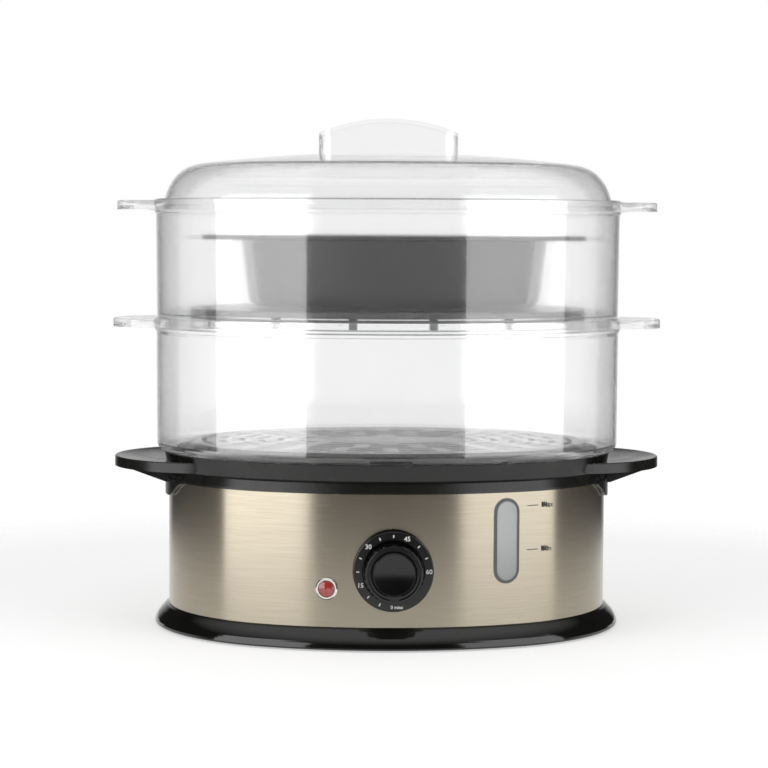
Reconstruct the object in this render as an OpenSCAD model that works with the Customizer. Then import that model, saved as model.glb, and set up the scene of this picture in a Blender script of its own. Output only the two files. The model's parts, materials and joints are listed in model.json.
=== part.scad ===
// Electric food steamer: an oval base with tank, heater and timer, a drip tray with
// two end handles, two clear stacking baskets, a rice bowl and a clear lid.
// Every ring of the body is an offset of one four-centre oval, which is the outside
// of the steel band, so a profile is drawn as [outward offset, height].

/* [Oval] */
// Half length of the steel band, along X
band_half_l = 135.5; // [132:0.5:145]
// Radius of the two round ends of the oval
end_r = 102; // [96:0.5:110]
// How far the long sides bow out past the end circles, along Y
side_bow = 7; // [5:0.5:9]

/* [Base] */
// Height of the rubber feet under the foot ring
feet_lift = 1; // [0.5:0.5:3]
// Radius of a rubber foot
feet_r = 9; // [6:0.5:10]
// Height of the foot ring's top above the floor
foot_h = 13.25; // [12:0.25:16]
// How far the foot ring flares out past the band
foot_flare = 8.7; // [7:0.1:10]
// Height of the steel band
band_h = 78; // [76:1:95]
// Thickness of the steel sheet
band_t = 0.8; // [0.5:0.1:1.2]
// Thickness of the bottom plate
plate_t = 2.5; // [2:0.25:3]
// Height of the slanted rim above the band
rim_h = 6.5; // [5:0.5:9]
// How far the end lobes hang down over the band
lobe_drop = 9.7; // [8:0.1:14]
// Half width of an end lobe at its top
lobe_half_w = 47; // [40:1:52]
// Thickness of an end lobe
lobe_t = 2; // [1.4:0.1:2.4]

/* [Tank] */
// Gap between the band and the tank wall, where the timer sits
tank_inset = 28; // [27:0.5:31]
// Wall thickness of the tank
tank_t = 2.5; // [2:0.1:3]
// Height of the tank floor above the floor of the room
tank_floor_z = 28.75; // [27.75:0.25:29.75]
// Radius of the heater flange
heater_r = 42; // [38:0.5:46]
// Thickness of the heater flange
heater_t = 3; // [2.5:0.5:4]
// Radius of the ring element under the heater
element_r = 22; // [20:0.5:26]
// Radius of the steam sleeve at its foot
sleeve_r = 52; // [49:0.5:60]
// Height of the steam sleeve
sleeve_h = 34; // [24:1:44]

/* [Controls] */
// Diameter of the dial
dial_d = 47; // [45:0.5:50]
// Height of the dial centre above the floor
dial_z = 46.75; // [45:0.25:51]
// How far the dial stands out of the band
dial_rise = 5; // [4:0.5:7]
// Diameter of the knob at its foot
knob_d = 34.8; // [32:0.2:36]
// Height of the knob above the dial face
knob_h = 13; // [11:0.5:16]
// Diameter of the timer shaft
shaft_d = 6; // [5:0.5:7]
// Depth of the timer body
timer_depth = 21; // [18:0.5:22]
// Distance of the indicator from the middle
lamp_x = 38.5; // [35:0.5:46]
// Height of the indicator above the floor
lamp_z = 35.75; // [34.5:0.25:40]
// Diameter of the red lens
lens_d = 9.8; // [8:0.2:11]
// Distance of the water gauge from the middle
gauge_x = 67; // [63:0.5:72]
// Height of the middle of the water gauge
gauge_z = 62.75; // [61:0.25:64]
// Width of the gauge window
gauge_w = 16.4; // [15:0.2:18]
// Length of the gauge window
gauge_h = 50.25; // [46:0.25:51]
// Bore of the cord gland
gland_bore = 7.2; // [6:0.2:8]

/* [Tray] */
// Height of the tray's wall above the base rim
tray_h = 10.4; // [9:0.2:13]
// Wall thickness of the tray
tray_t = 2.4; // [2:0.1:2.8]
// Half length over the tray's two handles
handle_reach = 169; // [162:1:176]
// Radius of a handle in plan
handle_r = 62; // [54:1:66]
// Depth of the handle skirt
handle_skirt = 6.2; // [5.4:0.1:8]

/* [Baskets] */
// Height of the lower basket's rim top above the floor
lower_top_z = 190.75; // [183:0.25:203]
// Height of the upper basket above the lower rim
upper_h = 71.7; // [64:0.5:84]
// Wall thickness of the clear parts
clear_t = 2.2; // [1.8:0.1:2.4]
// Outward offset of the lower basket's wall at its top
lower_flare = 7.8; // [7.4:0.1:8.2]
// Outward offset of the upper basket's wall at its top
upper_flare = 8; // [8:0.1:9]
// Height of a rim band
rim_band = 9; // [8:0.5:12]
// How far the lower basket's ears stand out past the tray's handles
lower_past = 1; // [0:0.5:4]
// Half length over the upper basket's ears
upper_reach = 167.4; // [164:0.5:176]
// Height of a perforated grid
grid_h = 10; // [8:0.5:11]
// Thickness of a grid's plate
grid_t = 2; // [1.6:0.1:2.5]
// Width of a grid slot
slot_w = 3; // [2:0.25:4]

/* [Bowl] */
// Inward offset of the bowl's rim from the band
bowl_inset = 41; // [36:1:46]
// Height of the rice bowl
bowl_h = 44.5; // [36:0.5:48]
// Wall thickness of the bowl
bowl_t = 2; // [1.6:0.1:2.6]
// Half length over the bowl's grips
bowl_reach = 119; // [114:1:122]
// How far the bowl stands off the middle, along X
bowl_x = 4; // [0:0.5:6]

/* [Lid] */
// Height of the lid's dome above the upper rim
dome_h = 28.4; // [26:0.1:34]
// Length of the lid's handle
grip_l = 86; // [70:1:96]
// Width of the lid's handle
grip_w = 30; // [24:1:40]
// Height of the lid's handle over the dome
grip_h = 21.3; // [16:0.1:26]
// Drop of the handle's arched top at its two ends
grip_sag = 8.7; // [4:0.1:11]
// Diameter of a steam vent
vent_d = 5; // [3:0.5:6]

/* [Hidden] */
$fn = 96;

// Colours
black = "#17181a";
gloss_black = "#101113";
clear = "#dfe6ea";
smoke = "#6d7478";
steel = "#b3a793";
metal = "#c4c7c9";
white = "#eceae4";
red = "#c3161c";
rubber = "#202020";

// The four-centre oval: two end arcs and two side arcs that meet at join_angle
band_half_w = end_r + side_bow;
end_centre = band_half_l - end_r;
side_centre = (pow(end_centre, 2) - pow(side_bow, 2)) / (2 * side_bow);
side_r = band_half_w + side_centre;
join_angle = atan2(side_centre, end_centre);
hair = 0.001;         // degrees between neighbouring arcs
key_angle = 0.2;      // half angle of the key that joins them
key_inset = 0.02;     // depth of the key under the surface

// Clearances
seat_gap = 0.3;      // a lift-off piece over its seat, and curved faces apart
slip = 0.15;         // a fixed piece in its hole, on the radius
running = 0.08;      // a turning piece in its bore, on the radius
nest_gap = 0.5;      // a spigot inside the rim that it nests in

// Heights of the base
band_z = foot_h;
rim_z = band_z + band_h;
rim_top_z = rim_z + rim_h;
lip_t = 2.2;
lip_h = 3.5;
plate_z = feet_lift + 1.5;
plate_top_z = plate_z + plate_t;
ledge_in = 12;
ring_in = 4;
rim_in = 5;
rim_slant = 1;
deck_drop = 9;
deck_fall = 4;
deck_t = 2.6;
tank_top_z = rim_top_z - deck_drop - deck_fall;

// Fasteners
screw_r = 1.5;
screw_bite = 10.5;   // length of a base screw inside its post
head_r = 3;
head_h = 1.4;
post_r = 4.5;
post_out = end_r - tank_inset - 15;   // from an end's centre, at post_turn
post_turn = 51.5;
feet_out = end_r - 23;
feet_turn = 48.3;

// Controls, in the frame of the band's front: Z outward, Y up
dial_back = 3.2;
dial_recess = 1.5;
dial_hole_r = dial_d / 2 + slip;
knob_front_r = knob_d / 2 - 0.8;
knob_cap_r = knob_front_r - 3.4;
knob_gap = 0.4;
timer_hole_x = 10;
shaft_flat = 1.2;    // depth of the flat that keys the knob
shaft_short = 4;     // from the shaft's end to the knob's face
timer_bite = 5;      // length of a timer screw inside the timer
timer_bush = 11;     // length of the shaft inside the timer
gauge_t = 1.4;
gauge_rise = 0.6;
gauge_margin = 2.7;
duct_wall = 2;
duct_w = gauge_w - 2 * gauge_margin;
duct_top_z = rim_top_z - deck_drop - deck_t - duct_wall - 0.3;
duct_low_z = gauge_z - gauge_h / 2 + gauge_margin;
duct_h = duct_top_z - duct_low_z;
duct_z = (duct_top_z + duct_low_z) / 2;
seal_t = 1.5;
bezel_r = lens_d / 2 + 1;
bezel_rise = 1.3;
lens_back = -1.2;
gland_r = gland_bore / 2 + 2.4;
gland_z = 25;

// Heater stack on the tank floor
seal_h = 1.2;
heater_body_r = heater_r - 12;
heater_body_h = 9;
heater_hole_r = heater_body_r + 1;
heater_screw_r = heater_r - 5;
heater_z = tank_floor_z + seal_h;
element_t = 4;
thermostat_r = 8;
thermostat_h = 7;
fuse_r = 2;
fuse_x = thermostat_r + fuse_r + 1;

// Tray
tray_z = rim_top_z + seat_gap;
tray_top_z = tray_z + tray_h;
tray_flare = 2.8;
tray_spigot = 7;
tray_floor_z = tray_z - tray_spigot;
tray_floor_t = 2.2;
spigot_out = -(rim_in + 0.4);
handle_z = tray_top_z - 3.8;
handle_dish = 3.4;
web_y = [-30, -10, 10, 30];
web_drop = 8;
chimney_in = 36;
chimney_out = 50;
chimney_h = 8;

// Tabs: a tab's circle is centred this far inside the wall that it stands on
tab_sink = 6;
tab_root = 2.6;
tab_edge = 1.8;
tab_scoop = 12;      // run of the scoop's steep part, inside the tab's edge
tab_fall = 1.2;

// Baskets
lower_z = tray_top_z + seat_gap;
lower_reach = handle_reach + lower_past;
upper_z = lower_top_z + seat_gap;
upper_top_z = upper_z + upper_h;
rim_wall = 2;
rim_proud = 0.9;
grid_inset = 13;
ledge_inset = 18;
ledge_t = 2;
ledge_drop = 3;
spigot_h = 7.3;
lower_spigot = -2.5;
upper_spigot = lower_flare - rim_wall - nest_gap;
lower_foot_flare = lower_flare - 0.3;
upper_foot_flare = upper_flare - 0.6;
ear_h = 5.5;
ear_dish = 3.4;
lower_step = 4.8;    // radius under a basket's wall, where it stands on its seat
upper_step = 0.5;

// Grids: rings of slots, the first of them along the rim, and two ribs beneath
grid_edge = 6;
ring_first = 22;
ring_pitch = 12;
ring_count = 5;
rib_x = 30;
rib_l = 120;
rib_t = 2;
notch_h = 3.6;

// Bowl
bowl_z = upper_z - spigot_h + ledge_t + seat_gap + grid_h + seat_gap;
bowl_top_z = bowl_z + bowl_h;
bowl_draft = 4;
bowl_corner = 8;
bowl_grip_skirt = 2.8;
bowl_grip_t = 1.6;

// Lid
lid_ledge = 2.5;
lid_flange_t = 1.8;
lid_z = upper_top_z - lid_ledge + seat_gap;
lid_seat_out = upper_flare + rim_proud - rim_wall - 1 - nest_gap;
dome_top_z = upper_top_z + dome_h;
dome_end = end_r - 9;
dome_shoulder = [[2.5, 0], [-2, 0.55], [-10.5, 0.715], [-19, 0.76]];
dome_crown = [[-19, 0.76], [-49, 0.91], [-dome_end, 1]];

// The knob stands out further than the foot ring, so the body sits this far back
// and the origin is under the middle of the whole object
knob_reach = band_half_w + dial_rise + knob_h;
frame_y = (knob_reach - band_half_w - foot_flare) / 2;

// ---- Helpers ----

module in_frame() translate([0, frame_y, 0]) children();

// X on the oval at the end, for an outward offset and a distance Y from the middle
function end_x(off, y) = end_centre + sqrt(pow(end_r + off, 2) - pow(y, 2));

// Points of an arc about [x, y]
function arc(x, y, r, from, to, steps = 5) =
    [for (i = [0:steps]) let (a = from + (to - from) * i / steps)
        [x + r * cos(a), y + r * sin(a)]];

// Point of a Bezier curve with any number of control points
function bezier(p, t) = len(p) == 1
    ? p[0]
    : bezier([for (i = [1:len(p) - 1]) p[i - 1] + (p[i] - p[i - 1]) * t], t);

// One arc of a sweep, about [x, y]
module swept(x, y, radius, from, to) {
    translate([x, y, 0]) rotate([0, 0, from]) rotate_extrude(angle = to - from)
        translate([radius, 0]) children();
}

// Sweeps a profile of [offset, height] all round the oval. The arcs stop a hair short
// of each other, and a key just under the surface joins them.
module oval_sweep() {
    for (half = [0, 180]) rotate([0, 0, half]) {
        swept(end_centre, 0, end_r, hair - join_angle, join_angle - hair) children();
        swept(0, -side_centre, side_r, join_angle + hair, 180 - join_angle - hair) children();
        for (a = [join_angle, 180 - join_angle])
            swept(0, -side_centre, side_r, a - key_angle, a + key_angle)
                offset(delta = -key_inset) children();
    }
}

// Outline of the oval at an offset
function oval_points(off) = concat(
    [for (p = arc(end_centre, 0, end_r + off, -join_angle, join_angle, 24)) p],
    [for (p = arc(0, -side_centre, side_r + off, join_angle, 180 - join_angle, 14)) p],
    [for (p = arc(-end_centre, 0, end_r + off, 180 - join_angle, 180 + join_angle, 24)) p],
    [for (p = arc(0, side_centre, side_r + off, 180 + join_angle, 360 - join_angle, 14)) p]
);

// A flat oval plate, whose edge is inside a swept rim
module oval_plate(off, low, high) {
    translate([0, 0, low]) linear_extrude(high - low) polygon(oval_points(off));
}

// Places children on the band's front, at x from the middle and z above the floor.
// There their own Z points outward and their own Y points up.
module on_front(x, z) {
    translate([0, side_centre, z]) rotate([0, 0, asin(x / side_r)])
        translate([0, -side_r, 0]) rotate([90, 0, 0]) children();
}

module on_back(x, z) rotate([0, 0, 180]) on_front(x, z) children();

// An upright slot with round ends, from z low to high
module stadium(w, h, low, high) {
    translate([0, 0, low]) linear_extrude(high - low) stadium_outline(w, h);
}

module stadium_outline(w, h) {
    run = (h - w) / 2;
    polygon(concat(arc(0, run, w / 2, 0, 180, 20), arc(0, -run, w / 2, 180, 360, 20)));
}

// A dished D-shaped tab at each end: plan radius r, out to reach, top edge at top
module end_tabs(reach, r, top, skirt, t, dish, sweep = 100) {
    scoop = [[r - tab_edge, top], [r - tab_edge - tab_scoop, top - dish],
             [tab_root, top - dish - tab_fall]];
    for (half = [0, 180]) rotate([0, 0, half])
        translate([reach - r, 0, 0]) rotate([0, 0, -sweep])
            rotate_extrude(angle = 2 * sweep)
                polygon(concat(
                    [for (i = [8:-1:1]) bezier(scoop, i / 8) - [0, t]],
                    [[r - t, top - skirt], [r, top - skirt], [r, top - 0.6], [r - 0.6, top]],
                    [for (i = [0:8]) bezier(scoop, i / 8)]
                ));
}

// Plan radius of a tab whose circle is centred inside a wall at this offset
function tab_r(reach, off) = reach - end_x(off, 0) + tab_sink;

// ---- Base ----

module foot_ring() {
    low = feet_lift;
    round_r = 1.2;
    crease = [4.8, foot_h - 3.6];
    side = [[foot_flare, low + round_r], [foot_flare - 0.2, low + 4.6], crease];
    in_frame() color(gloss_black) oval_sweep() polygon(concat(
        [[-ledge_in, plate_top_z], [-ring_in, plate_top_z], [-ring_in, low]],
        arc(foot_flare - round_r, low + round_r, round_r, -90, 0),
        [for (i = [1:8]) bezier(side, i / 8)],
        [[2, foot_h - 0.9], [0.3, foot_h], [-band_t - seat_gap, foot_h],
         [-band_t - seat_gap, foot_h + lip_h],
         [-band_t - seat_gap - lip_t, foot_h + lip_h],
         [-ring_in, foot_h - 1], [-ring_in, plate_top_z + 2.4],
         [-ledge_in, plate_top_z + 2.4]]
    ));
}

module bottom_plate() {
    vent = [3, 24];
    pitch = 8;
    row_y = 40;
    in_frame() color(black) difference() {
        union() {
            oval_plate(-ring_in - seat_gap, plate_z, plate_top_z);
            at_feet() translate([0, 0, plate_z - 0.5]) cylinder(r = feet_r + 2, h = 1);
        }
        at_feet() translate([0, 0, plate_z - 1]) cylinder(r = feet_r - 2, h = plate_t + 2);
        at_posts() translate([0, 0, plate_z - 1]) cylinder(r = screw_r + slip, h = plate_t + 2);
        for (side = [-1, 1], i = [-4:4])
            translate([i * pitch, side * row_y, plate_z - 1])
                linear_extrude(plate_t + 2) stadium_outline(vent[0], vent[1]);
    }
}

// Four places about the centres of the end arcs, so far out and turned so much from X
module at_corners(out, turn) {
    for (x = [-1, 1], y = [-1, 1])
        translate([x * (end_centre + out * cos(turn)), y * out * sin(turn), 0]) children();
}

module at_feet() at_corners(feet_out, feet_turn) children();

module at_posts() at_corners(post_out, post_turn) children();

// Mushroom feet, pushed into the plate's holes and held by a rib above it
module rubber_feet() {
    stem = feet_r - 2 - slip;
    in_frame() color(rubber) at_feet() rotate_extrude() polygon([
        [0, 0], [feet_r - 1, 0], [feet_r, 1], [feet_r, plate_z - 0.5],
        [stem, plate_z - 0.5], [stem, plate_top_z], [stem + 1, plate_top_z],
        [stem - 0.5, plate_top_z + 2.2], [0, plate_top_z + 2.2]
    ]);
}

module base_screws() {
    in_frame() color(metal) at_posts() {
        translate([0, 0, plate_z]) cylinder(r = screw_r, h = plate_t + screw_bite);
        translate([0, 0, plate_z - head_h]) cylinder(r = head_r, h = head_h);
    }
}

module steel_band() {
    in_frame() color(steel) difference() {
        oval_sweep() translate([-band_t, band_z]) square([band_t, band_h]);
        on_front(0, dial_z) translate([0, 0, -8]) cylinder(r = dial_hole_r, h = 16);
        on_front(-lamp_x, lamp_z) translate([0, 0, -4]) cylinder(r = bezel_r + slip, h = 8);
        on_front(gauge_x, gauge_z)
            stadium(gauge_w + 2 * slip, gauge_h + 2 * slip, -4, 4);
        on_back(0, gland_z) translate([0, 0, -4]) cylinder(r = gland_r + slip, h = 8);
    }
}

// Tank, deck, slanted rim and end lobes in one moulding
module reservoir() {
    wall = -tank_inset;
    lip = -band_t - seat_gap;
    deck_z = rim_top_z - deck_drop;
    in_frame() color(black) difference() {
        union() {
            oval_sweep() polygon([
                [wall - tank_t, tank_floor_z - tank_t], [wall, tank_floor_z - tank_t],
                [wall, tank_top_z - deck_t], [-rim_in - 2, deck_z - deck_t],
                [lip - lip_t, deck_z - deck_t], [lip, deck_z - deck_t + 1],
                [lip, rim_z], [0.9, rim_z], [0.9, rim_z + 1.2],
                [-rim_slant, rim_top_z], [-rim_in, rim_top_z], [-rim_in, deck_z + 0.3],
                [wall - tank_t, tank_top_z]
            ]);
            oval_plate(wall - tank_t + 0.5, tank_floor_z - tank_t, tank_floor_z);
            end_lobes();
            gauge_duct(duct_w + 2 * duct_wall, duct_h + 2 * duct_wall, -tank_inset - 1);
            at_posts() translate([0, 0, plate_top_z])
                cylinder(r = post_r, h = tank_floor_z - tank_t - plate_top_z + 0.5);
        }
        gauge_duct(duct_w, duct_h, -tank_inset - tank_t - 2);
        on_front(gauge_x, gauge_z)
            stadium(gauge_w + 4 * slip, gauge_h + 4 * slip, -gauge_t - band_t - 2 * slip, 0);
        translate([0, 0, tank_floor_z - tank_t - 1])
            cylinder(r = heater_hole_r, h = tank_t + 2);
        at_heater_screws() translate([0, 0, tank_floor_z - tank_t - 1])
            cylinder(r = screw_r + slip, h = tank_t + 2);
        at_posts() translate([0, 0, plate_top_z - 1])
            cylinder(r = screw_r + slip, h = screw_bite + 3.5);
    }
}

// The lobes follow the end arcs and are cut to a tapered outline
module end_lobes() {
    top = rim_z + 1;
    low = rim_z - lobe_drop;
    half = lobe_half_w;
    tip = half / 2;
    edge = [[half, rim_z - 0.5], [half - 12, rim_z - lobe_drop / 2], [tip + 9, low], [tip, low]];
    sweep = asin((half + 2) / end_r);
    for (side = [0, 180]) rotate([0, 0, side]) intersection() {
        translate([end_centre, 0, 0]) rotate([0, 0, -sweep])
            rotate_extrude(angle = 2 * sweep)
                translate([end_r + seat_gap, low]) square([lobe_t, top - low]);
        rotate([90, 0, 90]) linear_extrude(band_half_l * 2) for (flip = [0, 1])
            mirror([flip, 0]) polygon(concat(
                [[-1, top], [-1, low]], [for (i = [8:-1:0]) bezier(edge, i / 8)], [[half, top]]
            ));
    }
}

// Channel from the tank to the gauge window
module gauge_duct(w, h, back) {
    on_front(gauge_x, duct_z) stadium(w, h, back, -gauge_t - band_t - seal_t);
}

module gauge_seal() {
    in_frame() color(rubber) on_front(gauge_x, duct_z) difference() {
        stadium(duct_w + 2 * duct_wall, duct_h + 2 * duct_wall,
                -gauge_t - band_t - seal_t, -gauge_t - band_t);
        stadium(duct_w, duct_h, -gauge_t - band_t - seal_t - 1, -gauge_t);
    }
}

module gauge_window() {
    in_frame() color(smoke) on_front(gauge_x, gauge_z) {
        stadium(gauge_w, gauge_h, -gauge_t - band_t, gauge_rise - 0.3);
        stadium(gauge_w - 0.8, gauge_h - 0.8, gauge_rise - 0.4, gauge_rise);
    }
}

// ---- Heater ----

module at_heater_screws() {
    for (a = [30, 150, 270]) rotate([0, 0, a]) translate([heater_screw_r, 0, 0]) children();
}

// Flange, cast body with the ring element under it, and two terminals
module heater() {
    body_low = heater_z - heater_body_h;
    crown = 2;
    rim_w = 8;
    blade = [8, 0.8, 4];
    gap_angle = 60;
    in_frame() color(metal) difference() {
        union() {
            translate([0, 0, heater_z]) rotate_extrude() polygon([
                [0, 0], [heater_r, 0], [heater_r, heater_t - 1],
                [heater_r - 1, heater_t], [heater_r - rim_w, heater_t],
                [heater_r - rim_w - 3 * crown, heater_t + crown], [0, heater_t + crown]
            ]);
            translate([0, 0, body_low]) cylinder(r = heater_body_r, h = heater_body_h);
            translate([0, 0, body_low - element_t + 0.5]) rotate([0, 0, 90 + gap_angle / 2])
                rotate_extrude(angle = 360 - gap_angle)
                    translate([element_r, 0]) circle(r = element_t);
            for (side = [-1, 1]) rotate([0, 0, 90 + side * gap_angle / 2])
                translate([element_r, 0, body_low - element_t]) rotate([0, 0, -side * 90])
                    translate([0, -blade[1] / 2, 0]) cube(blade);
        }
        at_heater_screws() translate([0, 0, heater_z - 1])
            cylinder(r = screw_r + slip, h = heater_t);
    }
}

module heater_seal() {
    in_frame() color(rubber) translate([0, 0, tank_floor_z]) difference() {
        cylinder(r = heater_r, h = seal_h);
        translate([0, 0, -1]) cylinder(r = heater_hole_r, h = seal_h + 2);
        at_heater_screws() translate([0, 0, -1]) cylinder(r = screw_r + slip, h = seal_h + 2);
    }
}

module heater_screws() {
    under = tank_floor_z - tank_t;
    in_frame() color(metal) at_heater_screws() {
        translate([0, 0, under]) cylinder(r = screw_r, h = tank_t + seal_h + heater_t - 1.2);
        translate([0, 0, under - head_h]) cylinder(r = head_r, h = head_h);
    }
}

module thermostat() {
    top = heater_z - heater_body_h;
    flange = 3;
    blade = [0.8, 4.8, 3];
    in_frame() color(white) {
        translate([0, 0, top - thermostat_h]) rotate_extrude() polygon([
            [0, 0], [thermostat_r - 2, 0], [thermostat_r - 2, thermostat_h - flange],
            [thermostat_r, thermostat_h - flange], [thermostat_r, thermostat_h],
            [0, thermostat_h]
        ]);
        for (side = [-1, 1])
            translate([side * 3 - blade[0] / 2, -blade[1] / 2, top - thermostat_h - blade[2] + 0.4])
                cube(blade);
    }
}

// A tube with its two leads, held against the heater's cast body
module thermal_fuse() {
    top = heater_z - heater_body_h;
    tube_l = 12;
    lead = 5;
    in_frame() color(metal) translate([fuse_x, 0, top - fuse_r - 0.1]) rotate([90, 0, 0]) {
        cylinder(r = fuse_r, h = tube_l, center = true, $fn = 32);
        cylinder(r = 0.6, h = tube_l + 2 * lead, center = true, $fn = 24);
    }
}

// ---- Controls ----

module indicator_bezel() {
    back = -9;
    lip = 0.6;
    in_frame() color(metal) on_front(-lamp_x, lamp_z) rotate_extrude() polygon([
        [lens_d / 2 + slip, back], [bezel_r, back], [bezel_r, 0.2],
        [bezel_r + lip, 0.2], [bezel_r + lip, 0.8], [bezel_r, bezel_rise],
        [lens_d / 2 + slip, bezel_rise]
    ]);
}

module indicator_lens() {
    r = lens_d / 2;
    edge = 1;
    crown = 1.4;
    in_frame() color(red) on_front(-lamp_x, lamp_z) rotate_extrude() polygon(concat(
        [[0, lens_back], [r, lens_back], [r, edge]],
        [for (a = [18:18:90]) [r * cos(a), edge + crown * sin(a)]]
    ));
}

module indicator_lamp() {
    r = 2.4;
    back = -14;
    tip = lens_back - seat_gap;
    in_frame() color(white) on_front(-lamp_x, lamp_z) rotate_extrude() polygon([
        [0, back], [r, back], [r, tip - 2], [r - 1, tip - 0.7], [0, tip]
    ]);
}

// Fixed scale plate, recessed in the middle for the knob
module timer_dial() {
    r = dial_d / 2;
    edge_r = 0.9;
    well = knob_d / 2 + knob_gap;
    in_frame() color(black) on_front(0, dial_z) difference() {
        rotate_extrude() polygon(concat(
            [[shaft_d / 2 + running, -dial_back], [r, -dial_back]],
            arc(r - edge_r, dial_rise - edge_r, edge_r, 0, 90),
            [[well + 0.5, dial_rise], [well, dial_rise - dial_recess],
             [shaft_d / 2 + running, dial_rise - dial_recess]]
        ));
        for (side = [-1, 1]) translate([side * timer_hole_x, 0, -dial_back - 1])
            cylinder(r = screw_r + slip, h = dial_back + dial_rise + 2);
    }
}

module timer_screws() {
    in_frame() color(metal) on_front(0, dial_z) for (side = [-1, 1])
        translate([side * timer_hole_x, 0, 0]) {
            translate([0, 0, -dial_back - timer_bite])
                cylinder(r = screw_r, h = dial_back + timer_bite + dial_rise - dial_recess);
            translate([0, 0, dial_rise - dial_recess]) cylinder(r = head_r, h = head_h);
        }
}

// Wind-up movement: a round gear case on a square plate, with two terminals and a bell
module timer_body() {
    case_r = dial_d / 2 - 5;
    bell = [13, 4];
    plate = [38, 38, 2];
    blade = [6, 8, 0.8];
    low = -dial_back - timer_depth;
    in_frame() color(metal) on_front(0, dial_z) difference() {
        union() {
            translate([-plate[0] / 2, -plate[1] / 2, -dial_back - plate[2]]) cube(plate);
            translate([0, 0, low + bell[1]]) cylinder(r = case_r, h = timer_depth - bell[1] - 1);
            translate([0, 0, low]) cylinder(r = bell[0], h = bell[1] + 1);
            for (side = [-1, 1])
                translate([side * 9 - blade[0] / 2, -case_r - 3, low + 2 * bell[1]]) cube(blade);
        }
        translate([0, 0, -dial_back - timer_bush - 1])
            cylinder(r = shaft_d / 2 + running, h = timer_bush + 2);
        for (side = [-1, 1]) translate([side * timer_hole_x, 0, -dial_back - timer_bite - 1])
            cylinder(r = screw_r + slip, h = timer_bite + 2);
    }
}

module timer_shaft() {
    low = -dial_back - timer_bush;
    high = dial_rise + knob_h - shaft_short;
    in_frame() color(metal) on_front(0, dial_z) difference() {
        translate([0, 0, low]) cylinder(r = shaft_d / 2, h = high - low, $fn = 64);
        translate([shaft_d / 2 - shaft_flat, -shaft_d, dial_rise + 1])
            cube([shaft_d, 2 * shaft_d, knob_h]);
    }
}

// A tapered, ribbed drum. Its front has a rim, a groove, and inside them a cap dished
// like a ball; the pointer bridges the groove from the cap to the rim.
module timer_knob() {
    base = dial_rise - dial_recess + knob_gap;
    top = dial_rise + knob_h;
    skirt_r = knob_d / 2;
    skirt_t = 1.6;
    front_r = knob_front_r;
    cap_r = knob_cap_r;
    round_r = 0.8;
    groove_z = top - 2.4;
    face = top - 1.5;
    dish_r = cap_r - 1.4;
    dish_deep = 1.2;
    ball_r = (pow(dish_r, 2) + pow(dish_deep, 2)) / (2 * dish_deep);
    hub_r = 5.2;
    rib = [1.4, 1.1];
    tip = [4.4, 2.2];
    bore_r = shaft_d / 2 + slip / 3;
    bore_top = top - shaft_short + 0.2;
    in_frame() color(black) on_front(0, dial_z) {
        difference() {
            union() {
                rotate_extrude() polygon(concat(
                    [[hub_r - 0.7, base + 2.4], [skirt_r - skirt_t, base + 2.4],
                     [skirt_r - skirt_t, base], [skirt_r, base]],
                    arc(front_r - round_r, top - round_r, round_r, 0, 90, 4),
                    [[front_r - 1.5, top], [front_r - 1.8, groove_z],
                     [cap_r + 0.3, groove_z], [cap_r, top - 1], [cap_r - 1, top],
                     [dish_r + 0.2, top]],
                    arc(0, face + ball_r, ball_r, asin(dish_r / ball_r) - 90, -90, 8),
                    [[0, base + 3], [hub_r - 0.7, base + 3]]
                ));
                translate([0, 0, base + seat_gap]) cylinder(r = hub_r, h = 3);
                for (a = [0:12:348]) rotate([0, 0, a])
                    translate([skirt_r - 0.1 - rib[0], -rib[1] / 2, base + 1.5])
                        cube([rib[0], rib[1], knob_h - 3]);
            }
            translate([0, 0, base - 1]) difference() {
                cylinder(r = bore_r, h = bore_top - base + 1);
                translate([bore_r - shaft_flat, -shaft_d, dial_rise + 1.2 - base + 1])
                    cube([shaft_d, 2 * shaft_d, knob_h]);
            }
        }
        rotate([0, 0, 180]) translate([0, 0, groove_z - 0.2]) linear_extrude(top - groove_z - 0.3)
            polygon([[-tip[0], cap_r - 1.2], [tip[0], cap_r - 1.2],
                     [tip[1], front_r - 1], [-tip[1], front_r - 1]]);
    }
}

module terminal_block() {
    block = [34, 14, 12];
    pitch = 10;
    groove = 1.6;
    in_frame() color(white) translate([0, 62, plate_top_z]) difference() {
        translate([-block[0] / 2, -block[1] / 2, 0]) cube(block);
        for (i = [-1:1]) translate([i * pitch, 0, 5]) cylinder(r = 2.2, h = block[2]);
        for (side = [-1, 1])
            translate([(side * pitch - groove) / 2, -block[1], 3])
                cube([groove, 2 * block[1], block[2]]);
    }
}

module cord_gland() {
    bore = gland_bore / 2;
    lip = 2.5;
    back = -10;
    rise = 3;
    in_frame() color(black) on_back(0, gland_z) rotate_extrude() polygon([
        [bore, back], [gland_r, back], [gland_r, 0.4],
        [gland_r + lip, 0.4], [gland_r + lip, rise / 2], [gland_r + lip / 2, rise],
        [bore + 0.8, rise], [bore, rise - 0.8]
    ]);
}

// ---- Loose pieces inside the base ----

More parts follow.
